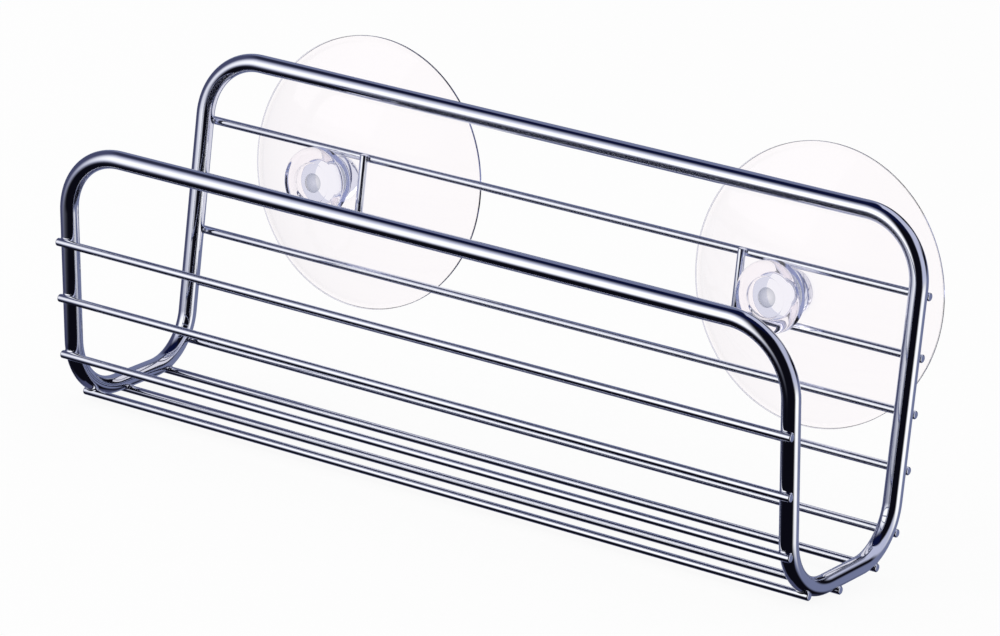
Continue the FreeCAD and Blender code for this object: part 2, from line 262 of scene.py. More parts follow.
def rounded_corners(before, here, after, radii, steps):
    """Arcs that round corners between straight runs, as points, headings, turns, runs and sides.

    An arc of radius r starts at r times the tangent of half the turn before its corner. Its point at turn t
    is that start plus r (sin t along the first run + (1 - cos t) towards the inside of the turn).
    """
    run = unit(here - before)
    next_run = unit(after - here)
    turns = np.arccos(np.clip((run * next_run).sum(1), -1, 1))
    side = unit(next_run - run * np.cos(turns)[:, None])
    start = here - run * (radii * np.tan(turns / 2))[:, None]
    t = (turns[:, None] * np.linspace(0, 1, steps))[..., None]
    offset = np.sin(t) * run[:, None] + (1 - np.cos(t)) * side[:, None]
    points = start[:, None] + radii[:, None, None] * offset
    headings = np.cos(t) * run[:, None] + np.sin(t) * side[:, None]
    return points, headings, turns, run, side


class Surface:
    """Points, four-sided and three-sided faces and their flat coordinates, gathered into one mesh."""

    def __init__(self):
        self.points = []
        self.corners = []
        self.sides = []
        self.flat = []
        self.count = 0

    def add(self, points, faces, flat):
        """Add points, faces as rows of point numbers, and a flat coordinate for each corner of a face."""
        self.points.append(points)
        self.corners.append((faces + self.count).ravel())
        self.sides.append(np.full(len(faces), faces.shape[1]))
        self.flat.append(flat.reshape(-1, 2))
        self.count += len(points)

    def add_faces(self, faces, flat):
        """Add more faces on the points that were added last."""
        self.corners.append(faces.ravel())
        self.sides.append(np.full(len(faces), faces.shape[1]))
        self.flat.append(flat.reshape(-1, 2))

    def make(self, name):
        """Put the arrays into a mesh object with smooth faces."""
        points = np.concatenate(self.points)
        corners = np.concatenate(self.corners)
        sides = np.concatenate(self.sides)
        mesh = bpy.data.meshes.new(name)
        mesh.vertices.add(len(points))
        mesh.vertices.foreach_set("co", points.astype(np.float32).ravel())
        mesh.loops.add(len(corners))
        mesh.loops.foreach_set("vertex_index", corners.astype(np.int32))
        mesh.polygons.add(len(sides))
        mesh.polygons.foreach_set("loop_start", (np.cumsum(sides) - sides).astype(np.int32))
        mesh.polygons.foreach_set("use_smooth", np.ones(len(sides), bool))
        mesh.update(calc_edges=True)
        layer = mesh.uv_layers.new(name="along_and_around")
        layer.data.foreach_set("uv", np.concatenate(self.flat).astype(np.float32).ravel())
        if mesh.validate():
            raise RuntimeError(f"{name} has faulty faces")
        thing = bpy.data.objects.new(name, mesh)
        bpy.context.scene.collection.objects.link(thing)
        return thing


def grid_faces(rows, columns, along, around, loop_rows):
    """Faces between the neighbours of a grid whose columns close, and whose rows close if asked.

    along gives a flat coordinate for each row line and around one for each column line, so a closed
    direction has one more line than it has points.
    """
    last = rows if loop_rows else rows - 1
    row, column = np.meshgrid(np.arange(last), np.arange(columns), indexing="ij")
    row, column = row.ravel(), column.ravel()
    steps = ((0, 0), (1, 0), (1, 1), (0, 1))
    faces = [((row + r) % rows) * columns + (column + c) % columns for r, c in steps]
    flat = [np.stack([along[row + r], around[column + c]], 1) for r, c in steps]
    return np.stack(faces, 1), np.stack(flat, 1)


def add_ring_of_sections(surface, rings, along):
    """Add a tube that closes on itself, from rings of points in order."""
    rows, columns = rings.shape[:2]
    faces, flat = grid_faces(rows, columns, along, np.linspace(0, 1, columns + 1), True)
    surface.add(rings.reshape(-1, 3), faces, flat)


def add_turned_shape(surface, profile, origin, axis, spoke, columns):
    """Add a shape turned on an axis: origin + along x axis + out (cos a x spoke + sin a x third).

    The profile's rows are (along, out), and its first and last rows lie on the axis and become poles.
    """
    third = np.cross(spoke, axis)
    angles = np.arange(columns) * (2 * np.pi / columns)
    radial = np.cos(angles)[:, None] * spoke + np.sin(angles)[:, None] * third
    body = profile[1:-1]
    rings = origin + body[:, None, :1] * axis + body[:, None, 1:] * radial
    poles = origin + profile[[0, -1], :1] * axis
    along = np.concatenate([[0], np.cumsum(np.linalg.norm(np.diff(profile, axis=0), axis=1))])
    around = np.linspace(0, 1, columns + 1)
    rows = len(body)
    faces, flat = grid_faces(rows, columns, along[1:-1], around, False)
    first = surface.count
    surface.add(np.concatenate([rings.reshape(-1, 3), poles]), faces, flat)
    column = np.arange(columns)
    after = (column + 1) % columns
    middle = (around[:-1] + around[1:]) / 2
    last = (rows - 1) * columns
    start_fan = np.stack([np.full(columns, rows * columns), column, after], 1)
    end_fan = np.stack([np.full(columns, rows * columns + 1), last + after, last + column], 1)
    ends = (
        (start_fan, along[0], along[1], around[:-1], around[1:]),
        (end_fan, along[-1], along[-2], around[1:], around[:-1]),
    )
    for fan, pole_along, ring_along, near, far in ends:
        spots = [(pole_along, middle), (ring_along, near), (ring_along, far)]
        flat = np.stack([np.stack([np.full(columns, a), b], 1) for a, b in spots], 1)
        surface.add_faces(fan + first, flat)


def rounded_profile(corners, radii, steps):
    """A profile of straight runs and arcs from its first corner to its last, as (along, out) rows."""
    corners = np.array(corners)
    arcs = rounded_corners(corners[:-2], corners[1:-1], corners[2:], np.array(radii), steps)[0]
    rows = np.concatenate([corners[:1], arcs.reshape(-1, 2), corners[-1:]])
    apart = np.linalg.norm(np.diff(rows, axis=0), axis=1) > SAME_POINT
    return rows[np.concatenate([[True], apart])]


def thin_wire_profile(reach, radius, end_round):
    """A straight wire of rounded ends from minus reach to plus reach, as (along, out) rows."""
    corners = [(-reach, 0), (-reach, radius), (reach, radius), (reach, 0)]
    return rounded_profile(corners, [end_round, end_round], END_STEPS)


def add_weld(surface, place, wire, outward, carrier, wire_radius, carrier_radius, spacing, reach, ends):
    """Add the fused bead round a thin wire that is sunk across a carrier wire.

    The two round surfaces meet in a closed curve: at turn q of the thin wire the point is spacing - r cos q
    outward and r sin q along the carrier, and the root of R squared less that outward part squared along the
    wire. From each of its points the bead runs a reach up the wire and a reach out on the carrier, joined by
    a hollow curve (1 - v)^2 A + 2 v (1 - v) P + v^2 B, and it closes inside the metal. Along the wire it
    stays between the two given ends.
    """
    widest = math.acos((spacing - carrier_radius) / wire_radius)
    lap = np.arange(WELD_COLUMNS) * (2 * np.pi / WELD_COLUMNS)
    q = widest * np.sin(lap)
    out = spacing - wire_radius * np.cos(q)
    run = np.sign(np.cos(lap)) * np.sqrt(np.maximum(carrier_radius**2 - out**2, 0))
    meet = np.stack([run, out, wire_radius * np.sin(q)], 1)
    from_wire = unit(np.stack([np.zeros_like(q), out - spacing, meet[:, 2]], 1))
    from_carrier = unit(np.stack([run, out, np.zeros_like(q)], 1))
    overlap = (from_wire * from_carrier).sum(1, keepdims=True)
    up_wire = meet + reach * unit(from_carrier - overlap * from_wire)
    on_carrier = meet + reach * unit(from_wire - overlap * from_carrier)
    centre = np.array([0, spacing, 0])
    lift = up_wire - centre
    lift[:, 1:] *= (wire_radius / np.linalg.norm(lift[:, 1:], axis=1))[:, None]
    up_wire = lift + centre
    on_carrier[:, :2] *= (carrier_radius / np.linalg.norm(on_carrier[:, :2], axis=1))[:, None]
    sunk = WELD_SINK * reach
    up_wire = up_wire - sunk * from_wire
    on_carrier = on_carrier - sunk * from_carrier
    inside = meet - WELD_ROOT * reach * unit(from_wire + from_carrier)
    v = np.linspace(0, 1, WELD_STEPS)[:, None, None]
    hollow = (1 - v) ** 2 * up_wire + 2 * v * (1 - v) * meet + v**2 * on_carrier
    section = np.concatenate([hollow, inside[None]])
    section[..., 0] = np.clip(section[..., 0], *ends)
    local = np.stack([wire, outward, carrier])
    rings = place + section @ local
    if np.dot(np.cross(wire, outward), carrier) > 0:
        rings = rings[::-1]
    add_ring_of_sections(surface, rings, np.linspace(0, 1, len(rings) + 1) * reach)


def node_group(name, inputs, outputs):
    """An empty shader node group with named number, vector or colour sockets."""
    group = bpy.data.node_groups.new(name, "ShaderNodeTree")
    for label, kind, value in inputs:
        socket = group.interface.new_socket(name=label, in_out="INPUT", socket_type=kind)
        if value is not None:
            socket.default_value = value
    for label, kind in outputs:
        group.interface.new_socket(name=label, in_out="OUTPUT", socket_type=kind)
    return group, group.nodes.new("NodeGroupInput"), group.nodes.new("NodeGroupOutput")


def worked_surface():
    """The unevenness of a worked surface: a soft ripple in height and a mask of faint handling marks."""
    known = bpy.data.node_groups.get("worked_surface")
    if known:
        return known
    inputs = (
        ("Place", "NodeSocketVector", None),
        ("Ripple scale", "NodeSocketFloat", 100.0),
        ("Mark scale", "NodeSocketFloat", 40.0),
    )
    outputs = (("Ripple", "NodeSocketFloat"), ("Marks", "NodeSocketFloat"))
    group, given, result = node_group("worked_surface", inputs, outputs)
    ripple = group.nodes.new("ShaderNodeTexNoise")
    ripple.inputs["Detail"].default_value = 2.0
    marks = group.nodes.new("ShaderNodeTexNoise")
    marks.inputs["Detail"].default_value = 6.0
    marks.inputs["Roughness"].default_value = 0.62
    patches = group.nodes.new("ShaderNodeMapRange")
    patches.interpolation_type = "SMOOTHSTEP"
    patches.inputs["From Min"].default_value = 0.46
    patches.inputs["From Max"].default_value = 0.74
    join = group.links.new
    join(given.outputs["Place"], ripple.inputs["Vector"])
    join(given.outputs["Ripple scale"], ripple.inputs["Scale"])
    join(given.outputs["Place"], marks.inputs["Vector"])
    join(given.outputs["Mark scale"], marks.inputs["Scale"])
    join(marks.outputs["Fac"], patches.inputs["Value"])
    join(ripple.outputs["Fac"], result.inputs["Ripple"])
    join(patches.outputs["Result"], result.inputs["Marks"])
    return group


def new_material(name):
    """A material with an empty node tree and its output."""
    material = bpy.data.materials.new(name)
    material.use_nodes = True
    tree = material.node_tree
    tree.nodes.clear()
    return material, tree, tree.nodes.new("ShaderNodeOutputMaterial")


def placed_group(tree, group, place, **values):
    """A node group in a material, fed with a place and its own numbers."""
    node = tree.nodes.new("ShaderNodeGroup")
    node.node_tree = group
    tree.links.new(place, node.inputs["Place"])
    for label, value in values.items():
        node.inputs[label.replace("_", " ").capitalize()].default_value = value
    return node


def range_of(tree, value, low, high):
    """A mask carried onto a range of numbers."""
    node = tree.nodes.new("ShaderNodeMapRange")
    node.inputs["To Min"].default_value = low
    node.inputs["To Max"].default_value = high
    tree.links.new(value, node.inputs["Value"])
    return node.outputs["Result"]


def shades_of(tree, mask, clean, marked):
    """A colour that goes from its clean shade to its marked shade with a mask."""
    node = tree.nodes.new("ShaderNodeMix")
    node.data_type = "RGBA"
    first, second = [s for s in node.inputs if s.type == "RGBA"]
    first.default_value = (*clean, 1)
    second.default_value = (*marked, 1)
    factor = next(s for s in node.inputs if s.name == "Factor" and s.type == "VALUE")
    tree.links.new(mask, factor)
    return next(s for s in node.outputs if s.type == "RGBA")


def plated_wire(wire):
    """Polished plating with the faint draw lines of the wire, a soft ripple and handling marks."""
    material = bpy.data.materials.get("polished_plating")
    if material:
        return material
    material, tree, output = new_material("polished_plating")
    shader = tree.nodes.new("ShaderNodeBsdfPrincipled")
    place = tree.nodes.new("ShaderNodeTexCoord")
    surface = placed_group(
        tree, worked_surface(), place.outputs["Object"], ripple_scale=160.0, mark_scale=55.0
    )
    marks = surface.outputs["Marks"]
    clean = np.array(wire.plating)
    tree.links.new(shades_of(tree, marks, clean, clean * wire.mark_shade), shader.inputs["Base Color"])
    rough = range_of(tree, marks, wire.polish, wire.polish + wire.mark_dulling)
    tree.links.new(rough, shader.inputs["Roughness"])
    shader.inputs["Metallic"].default_value = 1.0
    stretch = tree.nodes.new("ShaderNodeMapping")
    stretch.inputs["Scale"].default_value = (90.0, 40.0, 1.0)
    tree.links.new(place.outputs["UV"], stretch.inputs["Vector"])
    lines = tree.nodes.new("ShaderNodeTexNoise")
    lines.inputs["Scale"].default_value = 1.0
    lines.inputs["Detail"].default_value = 3.0
    tree.links.new(stretch.outputs["Vector"], lines.inputs["Vector"])
    drawn = tree.nodes.new("ShaderNodeBump")
    drawn.inputs["Strength"].default_value = 0.05
    drawn.inputs["Distance"].default_value = 0.00002
    tree.links.new(lines.outputs["Fac"], drawn.inputs["Height"])
    rippled = tree.nodes.new("ShaderNodeBump")
    rippled.inputs["Strength"].default_value = 0.08
    rippled.inputs["Distance"].default_value = 0.0002
    tree.links.new(surface.outputs["Ripple"], rippled.inputs["Height"])
    tree.links.new(drawn.outputs["Normal"], rippled.inputs["Normal"])
    tree.links.new(rippled.outputs["Normal"], shader.inputs["Normal"])
    tree.links.new(shader.outputs["BSDF"], output.inputs["Surface"])
    return material


def clear_soft_plastic(cup):
    """Clear soft plastic with a faint moulded ripple, dull handling marks and a dull mark in the dimple.

    The dimple's mark is also darkened with painted shade, most at the dimple's wall.
    """
    material = bpy.data.materials.get("clear_moulded_plastic")
    if material:
        return material
    material, tree, output = new_material("clear_moulded_plastic")
    shader = tree.nodes.new("ShaderNodeBsdfPrincipled")
    place = tree.nodes.new("ShaderNodeTexCoord")
    surface = placed_group(
        tree, worked_surface(), place.outputs["Object"], ripple_scale=220.0, mark_scale=70.0
    )
    # The gate mask makes the dimple duller and also paints shade into it, by mixing the skin's tint towards a
    # dark grey
    gate_and_shade = tree.nodes.new("ShaderNodeAttribute")
    gate_and_shade.attribute_name = "gate_and_shade"
    tree.links.new(shades_of(tree, gate_and_shade.outputs["Fac"], cup.tint, cup.gate_shade_tint), shader.inputs["Base Color"])
    dull = tree.nodes.new("ShaderNodeMath")
    dull.operation = "MULTIPLY_ADD"
    dull.inputs[1].default_value = cup.gate_dulling
    rough = range_of(tree, surface.outputs["Marks"], cup.gloss, cup.gloss + cup.mark_dulling)
    tree.links.new(gate_and_shade.outputs["Fac"], dull.inputs[0])
    tree.links.new(rough, dull.inputs[2])
    tree.links.new(dull.outputs["Value"], shader.inputs["Roughness"])
    shader.inputs["Metallic"].default_value = 0.0
    shader.inputs["IOR"].default_value = cup.refraction
    shader.inputs["Specular Tint"].default_value = (*[cup.reflection] * 3, 1)
    shader.inputs["Transmission Weight"].default_value = 1.0
    inside = tree.nodes.new("ShaderNodeVolumeAbsorption")
    inside.inputs["Color"].default_value = (*cup.depth_tint, 1)
    inside.inputs["Density"].default_value = cup.depth_density
    tree.links.new(inside.outputs["Volume"], output.inputs["Volume"])
    rippled = tree.nodes.new("ShaderNodeBump")
    rippled.inputs["Strength"].default_value = 0.06
    rippled.inputs["Distance"].default_value = 0.0002
    tree.links.new(surface.outputs["Ripple"], rippled.inputs["Height"])
    tree.links.new(rippled.outputs["Normal"], shader.inputs["Normal"])
    tree.links.new(shader.outputs["BSDF"], output.inputs["Surface"])
    return material


def points_of(thing):
    """The points of a mesh object, as rows of X, Y and Z."""
    points = np.zeros(len(thing.data.vertices) * 3, np.float32)
    thing.data.vertices.foreach_get("co", points)
    return points.reshape(-1, 3)


def finish_piece(thing, material, body, node, room=0.0):
    """Give a piece its finish and body, and let it stand for its CAD node once the sizes agree.

    A welded wire has room for its beads, which reach past the node's own box.
    """
    thing.data.materials.append(material)
    points = points_of(thing)
    low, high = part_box(node)
    off = max(np.abs(points.min(0) - np.array(low)).max(), np.abs(points.max(0) - np.array(high)).max())
    if off > FIT + room:
        raise RuntimeError(f"{thing.name} leaves the box of {node} by {off:.5f} m")
    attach(thing, body)
    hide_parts(node)


def frame_corners(wire):
    """The eight sharp corners of the frame's loop and the radius that rounds each of them."""
    radius = wire.frame_wire / 2
    low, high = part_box("basket_frame")
    side = high.x - radius
    rear = high.y - radius
    rear_top = high.z - radius
    front = low.y + radius
    rear_low = rear_top - wire.rear_height
    rows = (
        (rear, rear_low, wire.rear_bend),
        (rear - wire.floor_depth, rear_low - wire.floor_drop, wire.front_bend),
        (front, rear_low + wire.front_height, wire.front_corner),
    )
    rear_row = (rear, rear_top, wire.rear_corner)
    right = [(side, y, z) for y, z, _ in rows]
    left = [(-side, y, z) for y, z, _ in reversed(rows)]
    tops = [(-side, *rear_row[:2]), (side, *rear_row[:2])]
    bends = [r for _, _, r in rows]
    return np.array(right + left + tops), np.array(bends + bends[::-1] + [rear_row[2]] * 2)


class SPONGEHOLDER_OT_frame(bpy.types.Operator):
    """Bend the closed loop of thick wire"""

    bl_idname = "sponge_holder.frame"
    bl_label = "Basket frame"

    def execute(self, context):
        """Carry a circle along the rounded loop: centre line + radius (cos a x spoke + sin a x third).

        The spoke is carried round each bend without twist, and what is left over at the end of the loop is
        spread evenly along it, so that the last section meets the first.
        """
        wire = context.scene.sponge_holder_wire
        corners, radii = frame_corners(wire)
        before, after = np.roll(corners, 1, 0), np.roll(corners, -1, 0)
        points, headings, turns, run, side = rounded_corners(before, corners, after, radii, BEND_STEPS)
        axes = np.cross(run, side)
        first = spoke = unit(X_AXIS - run[0] * run[0][0])
        spokes = []
        for axis, angle in zip(axes, turns):
            spokes.append(spoke)
            spoke = turned(spoke, axis, np.array(angle))
        left_over = math.atan2(np.dot(np.cross(first, spoke), run[0]), np.dot(first, spoke))
        angles = turns[:, None] * np.linspace(0, 1, points.shape[1])
        spokes = turned(np.array(spokes)[:, None], axes[:, None], angles).reshape(-1, 3)
        points, headings = points.reshape(-1, 3), headings.reshape(-1, 3)
        gaps = np.linalg.norm(np.roll(points, -1, 0) - points, axis=1)
        along = np.concatenate([[0], np.cumsum(gaps)])
        lap = np.arange(FRAME_COLUMNS) * (2 * np.pi / FRAME_COLUMNS)
        around = lap - (left_over * along[:-1] / along[-1])[:, None]
        thirds = np.cross(headings, spokes)
        radius = wire.frame_wire / 2
        spread = np.cos(around)[..., None] * spokes[:, None] + np.sin(around)[..., None] * thirds[:, None]
        surface = Surface()
        add_ring_of_sections(surface, (points[:, None] + radius * spread)[:, ::-1], along)
        thing = surface.make("frame_loop")
        finish_piece(thing, plated_wire(wire), "basket", "basket_frame")
        return {"FINISHED"}


def nearest_on_frame(wire, y, z):
    """The nearest point of the frame's end view to a rail, as (Y, Z)."""
    corners, radii = frame_corners(wire)
    path = corners[RIGHT_END][:, 1:]
    bends = radii[RIGHT_END[1:-1]]
    rear_arc, front_arc = rounded_corners(path[:-2], path[1:-1], path[2:], bends, SEARCH_STEPS)[0]
    runs = ((path[0], rear_arc[0]), (rear_arc[-1], front_arc[0]), (front_arc[-1], path[-1]))
    rear, floor, front = (np.linspace(start, end, SEARCH_STEPS) for start, end in runs)
    line = np.concatenate([rear, rear_arc, floor, front_arc, front])
    return line[np.argmin(np.linalg.norm(line - (y, z), axis=1))]


class SPONGEHOLDER_OT_rails(bpy.types.Operator):
    """Lay the thin rails and weld them to the frame"""

    bl_idname = "sponge_holder.rails"
    bl_label = "Rails"

    def execute(self, context):
        """Turn each rail's profile on its own axis and add a weld bead where it crosses each leg."""
        wire = context.scene.sponge_holder_wire
        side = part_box("basket_frame")[1].x - wire.frame_wire / 2
        for node in RAILS:
            low, high = (np.array(corner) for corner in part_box(node))
            centre = (low + high) / 2
            radius = (high - low)[1:].min() / 2
            surface = Surface()
            profile = thin_wire_profile(high[0], radius, wire.end_round)
            add_turned_shape(surface, profile, centre, X_AXIS, Z_AXIS, THIN_COLUMNS)
            spot = nearest_on_frame(wire, centre[1], centre[2])
            apart = centre[1:] - spot
            spacing = np.linalg.norm(apart)
            outward = np.array([0, *(apart / spacing)])
            carrier = np.cross(X_AXIS, outward)
            reach = high[0] - wire.end_round
            for x in (-side, side):
                place = np.array([x, *spot])
                add_weld(
                    surface, place, X_AXIS, outward, carrier, radius,
                    wire.frame_wire / 2, spacing, wire.weld_reach, (-reach - x, reach - x),
                )
            thing = surface.make(f"{node}_wire")
            finish_piece(thing, plated_wire(wire), "basket", node, wire.weld_reach)
        return {"FINISHED"}


class SPONGEHOLDER_OT_stops(bpy.types.Operator):
    """Set the upright stops on the two cup rails"""

    bl_idname = "sponge_holder.stops"
    bl_label = "Cup stops"

    def execute(self, context):
        """Turn each stop's profile on its own upright axis and weld it to both cup rails."""
        wire = context.scene.sponge_holder_wire
        for node in STOPS:
            low, high = (np.array(corner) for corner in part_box(node))
            centre = (low + high) / 2
            radius = (high - low)[0] / 2
            centre[1] = low[1] + radius
            surface = Surface()
            profile = thin_wire_profile((high - low)[2] / 2, radius, wire.end_round)
            add_turned_shape(surface, profile, centre, Z_AXIS, X_AXIS, THIN_COLUMNS)
            for rail in ("cup_rail_lower", "cup_rail_upper"):
                rail_low, rail_high = (np.array(corner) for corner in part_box(rail))
                rail_centre = (rail_low + rail_high) / 2
                rail_radius = (rail_high - rail_low)[2] / 2
                place = np.array([centre[0], rail_centre[1], rail_centre[2]])
                ends = np.array([low[2], high[2]]) - rail_centre[2]
                add_weld(
                    surface, place, Z_AXIS, OUT_OF_WALL, X_AXIS, radius,
                    rail_radius, rail_centre[1] - centre[1], wire.weld_reach * STOP_WELD, ends,
                )
            thing = surface.make(f"{node}_wire")
            finish_piece(thing, plated_wire(wire), "basket", node, wire.weld_reach)
        return {"FINISHED"}


def cup_profile(cup, rim, depth):
    """The cup's section as (distance in front of the wall, distance from the axis) rows.

    Both domes are arcs of balls: an edge of radius e and a rise h give a ball of radius (e e / h + h) / 2.
    Such an arc is the rounding of the corner where the tangents at its two ends meet.
    """
    land = rim - cup.rim_land
    hollow_ball = (land**2 / cup.hollow_depth + cup.hollow_depth) / 2
    hollow_turn = math.asin(land / hollow_ball)
    rise = cup.dish_height - cup.rim_thickness
    dish_ball = (rim**2 / rise + rise) / 2
    dish_centre = cup.dish_height - dish_ball
    rim_turn = math.asin(rim / dish_ball)
    neck = cup.neck_diameter / 2
    root_out = 2 * cup.root_round
    root_turn = math.asin((neck + root_out) / dish_ball)
    half_turn = (rim_turn - root_turn) / 2
    bisector = (rim_turn + root_turn) / 2
    tip = dish_ball / math.cos(half_turn)
    dish_corner = (dish_centre + tip * math.cos(bisector), tip * math.sin(bisector))
    root = (dish_centre + dish_ball * math.cos(root_turn) + root_out * math.tan(root_turn), neck)
    back = cup.dish_height + cup.neck_length
    head = cup.head_diameter / 2
    recess = cup.recess_diameter / 2
    recess_floor = depth - cup.recess_depth
    dimple = cup.dimple_diameter / 2
    bottom = recess_floor - cup.dimple_depth
    edge = cup.edge_round
    neck_end, recess_edge, recess_foot, dimple_edge, dimple_foot = (edge * size for size in HEAD_EDGES)
    rows = (
        ((cup.hollow_depth, hollow_ball * math.tan(hollow_turn / 2)), hollow_ball - edge),
        ((0, land), edge),
        ((0, rim), edge),
        ((cup.rim_thickness, rim), edge),
        (dish_corner, dish_ball),
        (root, cup.root_round),
        ((back, neck), neck_end),
        ((back, head), cup.back_round),
        ((depth, head), cup.face_round),
        ((depth, recess), recess_edge),
        ((recess_floor, recess), recess_foot),
        ((recess_floor, dimple), dimple_edge),
        ((bottom, dimple), dimple_foot),
    )
    return rows, (cup.hollow_depth, 0.0), (bottom, 0.0)


def mark_gate_and_shade(thing, centre, cup):
    """Mark the dimple in the head, where the plastic entered its mould, in an attribute that makes it duller
    and paints shade into it.

    It rises from the middle to the dimple's wall, so the painted shade is darkest at the wall, and falls to
    nought over the rounding of the wall's edge.
    """
    points = points_of(thing)
    out = np.linalg.norm((points - centre)[:, [0, 2]], axis=1)
    in_head = centre[1] - points[:, 1] > cup.dish_height + cup.neck_length
    wall = cup.dimple_diameter / 2
    inside = np.clip((wall - out) / cup.edge_round + 1, 0, 1) * in_head
    # Dullness and painted shade, both strongest at the dimple's wall
    dull = inside * (GATE_MIDDLE + (1 - GATE_MIDDLE) * np.minimum(out / wall, 1) ** 2)
    layer = thing.data.attributes.new("gate_and_shade", "FLOAT", "POINT")
    layer.data.foreach_set("value", dull.astype(np.float32))


class SPONGEHOLDER_OT_cups(bpy.types.Operator):
    """Mould the two clear suction cups"""

    bl_idname = "sponge_holder.cups"
    bl_label = "Suction cups"

    def execute(self, context):
        """Turn the cup's rounded section on its axis, which runs straight out of the wall."""
        cup = context.scene.sponge_holder_cup
        for node, body in CUPS.items():
            low, high = (np.array(corner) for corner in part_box(node))
            rim = (high - low)[2] / 2
            rows, start, end = cup_profile(cup, rim, -low[1])
            places, radii = zip(*rows)
            profile = rounded_profile([start, *places, end], radii, CUP_ARC_STEPS)
            centre = np.array([(low[0] + high[0]) / 2, 0, (low[2] + high[2]) / 2])
            surface = Surface()
            add_turned_shape(surface, profile, centre, OUT_OF_WALL, Z_AXIS, CUP_COLUMNS)
            thing = surface.make(f"{node}_moulding")
            mark_gate_and_shade(thing, centre, cup)
            finish_piece(thing, clear_soft_plastic(cup), body, node)
        return {"FINISHED"}


def any_ray(tree, *names):
    """One where a ray is of any of the named kinds, and nought elsewhere."""
    path = tree.nodes.new("ShaderNodeLightPath")
    total = path.outputs[names[0]]
    for name in names[1:]:
        node = tree.nodes.new("ShaderNodeMath")
        node.operation = "MAXIMUM"
        tree.links.new(total, node.inputs[0])
        tree.links.new(path.outputs[name], node.inputs[1])
        total = node.outputs["Value"]
    return total


def background(tree, strength):
    """A white background of a strength, for a world."""
    node = tree.nodes.new("ShaderNodeBackground")
    node.inputs["Color"].default_value = (1, 1, 1, 1)
    node.inputs["Strength"].default_value = strength
    return node


def mixed(tree, factor, first, second):
    """One shader that goes over into another with a factor."""
    node = tree.nodes.new("ShaderNodeMixShader")
    tree.links.new(factor, node.inputs["Fac"])
    tree.links.new(first, node.inputs[1])
    tree.links.new(second, node.inputs[2])
    return node.outputs["Shader"]


def set_world(stage):
    """A white room for what is seen directly or in metal, and a softer one as light.

    Seen through plastic, the white turns violet for light that has bounced off the inside of a thick piece.
    """
    world = bpy.data.worlds.new("white_room")
    world.use_nodes = True
    tree = world.node_tree
    tree.nodes.clear()
    light = background(tree, stage.room_light)
    seen = background(tree, 1.0)
    through = background(tree, 1.0)
    path = tree.nodes.new("ShaderNodeLightPath")
    wander = tree.nodes.new("ShaderNodeMapRange")
    wander.inputs["From Min"].default_value = VIOLET_BOUNCES[0]
    wander.inputs["From Max"].default_value = VIOLET_BOUNCES[1]
    tree.links.new(path.outputs["Glossy Depth"], wander.inputs["Value"])
    white_to_violet = shades_of(tree, wander.outputs["Result"], (1, 1, 1), stage.violet)
    tree.links.new(white_to_violet, through.inputs["Color"])
    in_sight = any_ray(tree, "Is Camera Ray", "Is Glossy Ray")
    direct = mixed(tree, in_sight, light.outputs[0], seen.outputs[0])
    whole = mixed(tree, path.outputs["Is Transmission Ray"], direct, through.outputs[0])
    output = tree.nodes.new("ShaderNodeOutputWorld")
    tree.links.new(whole, output.inputs["Surface"])
    bpy.context.scene.world = world


def floor_material(stage):
    """A pale matt floor that is lifted towards white where it is seen, and keeps a faint shadow."""
    material, tree, output = new_material("pale_floor")
    matt = tree.nodes.new("ShaderNodeBsdfDiffuse")
    matt.inputs["Color"].default_value = (*stage.floor, 1)
    white = tree.nodes.new("ShaderNodeEmission")
    white.inputs["Color"].default_value = (1, 1, 1, 1)
    lift = tree.nodes.new("ShaderNodeMath")
    lift.operation = "MULTIPLY"
    lift.inputs[1].default_value = stage.floor_glow
    in_sight = any_ray(tree, "Is Camera Ray", "Is Glossy Ray", "Is Transmission Ray")
    tree.links.new(in_sight, lift.inputs[0])
    lifted = mixed(tree, lift.outputs["Value"], matt.outputs["BSDF"], white.outputs["Emission"])
    tree.links.new(lifted, output.inputs["Surface"])
    return material


def soft_edge(values, low, high, fade):
    """One between low and high, falling smoothly to nought over a fade on each side."""
    depth = np.clip(np.minimum(values - low, high - values) / fade + 0.5, 0, 1)
    return depth * depth * (3 - 2 * depth)


def open_grid(name, points):
    """A sheet of four-sided faces over an open grid of points, as part of the stage."""
    rows, columns = points.shape[:2]
    number = np.arange(rows * columns).reshape(rows, columns)
    faces = np.stack([number[:-1, :-1], number[1:, :-1], number[1:, 1:], number[:-1, 1:]], -1)
    mesh = bpy.data.meshes.new(name)
    mesh.from_pydata(points.reshape(-1, 3).tolist(), [], faces.reshape(-1, 4).tolist())
    thing = bpy.data.objects.new(name, mesh)
    bpy.context.scene.collection.objects.link(thing)
    return thing


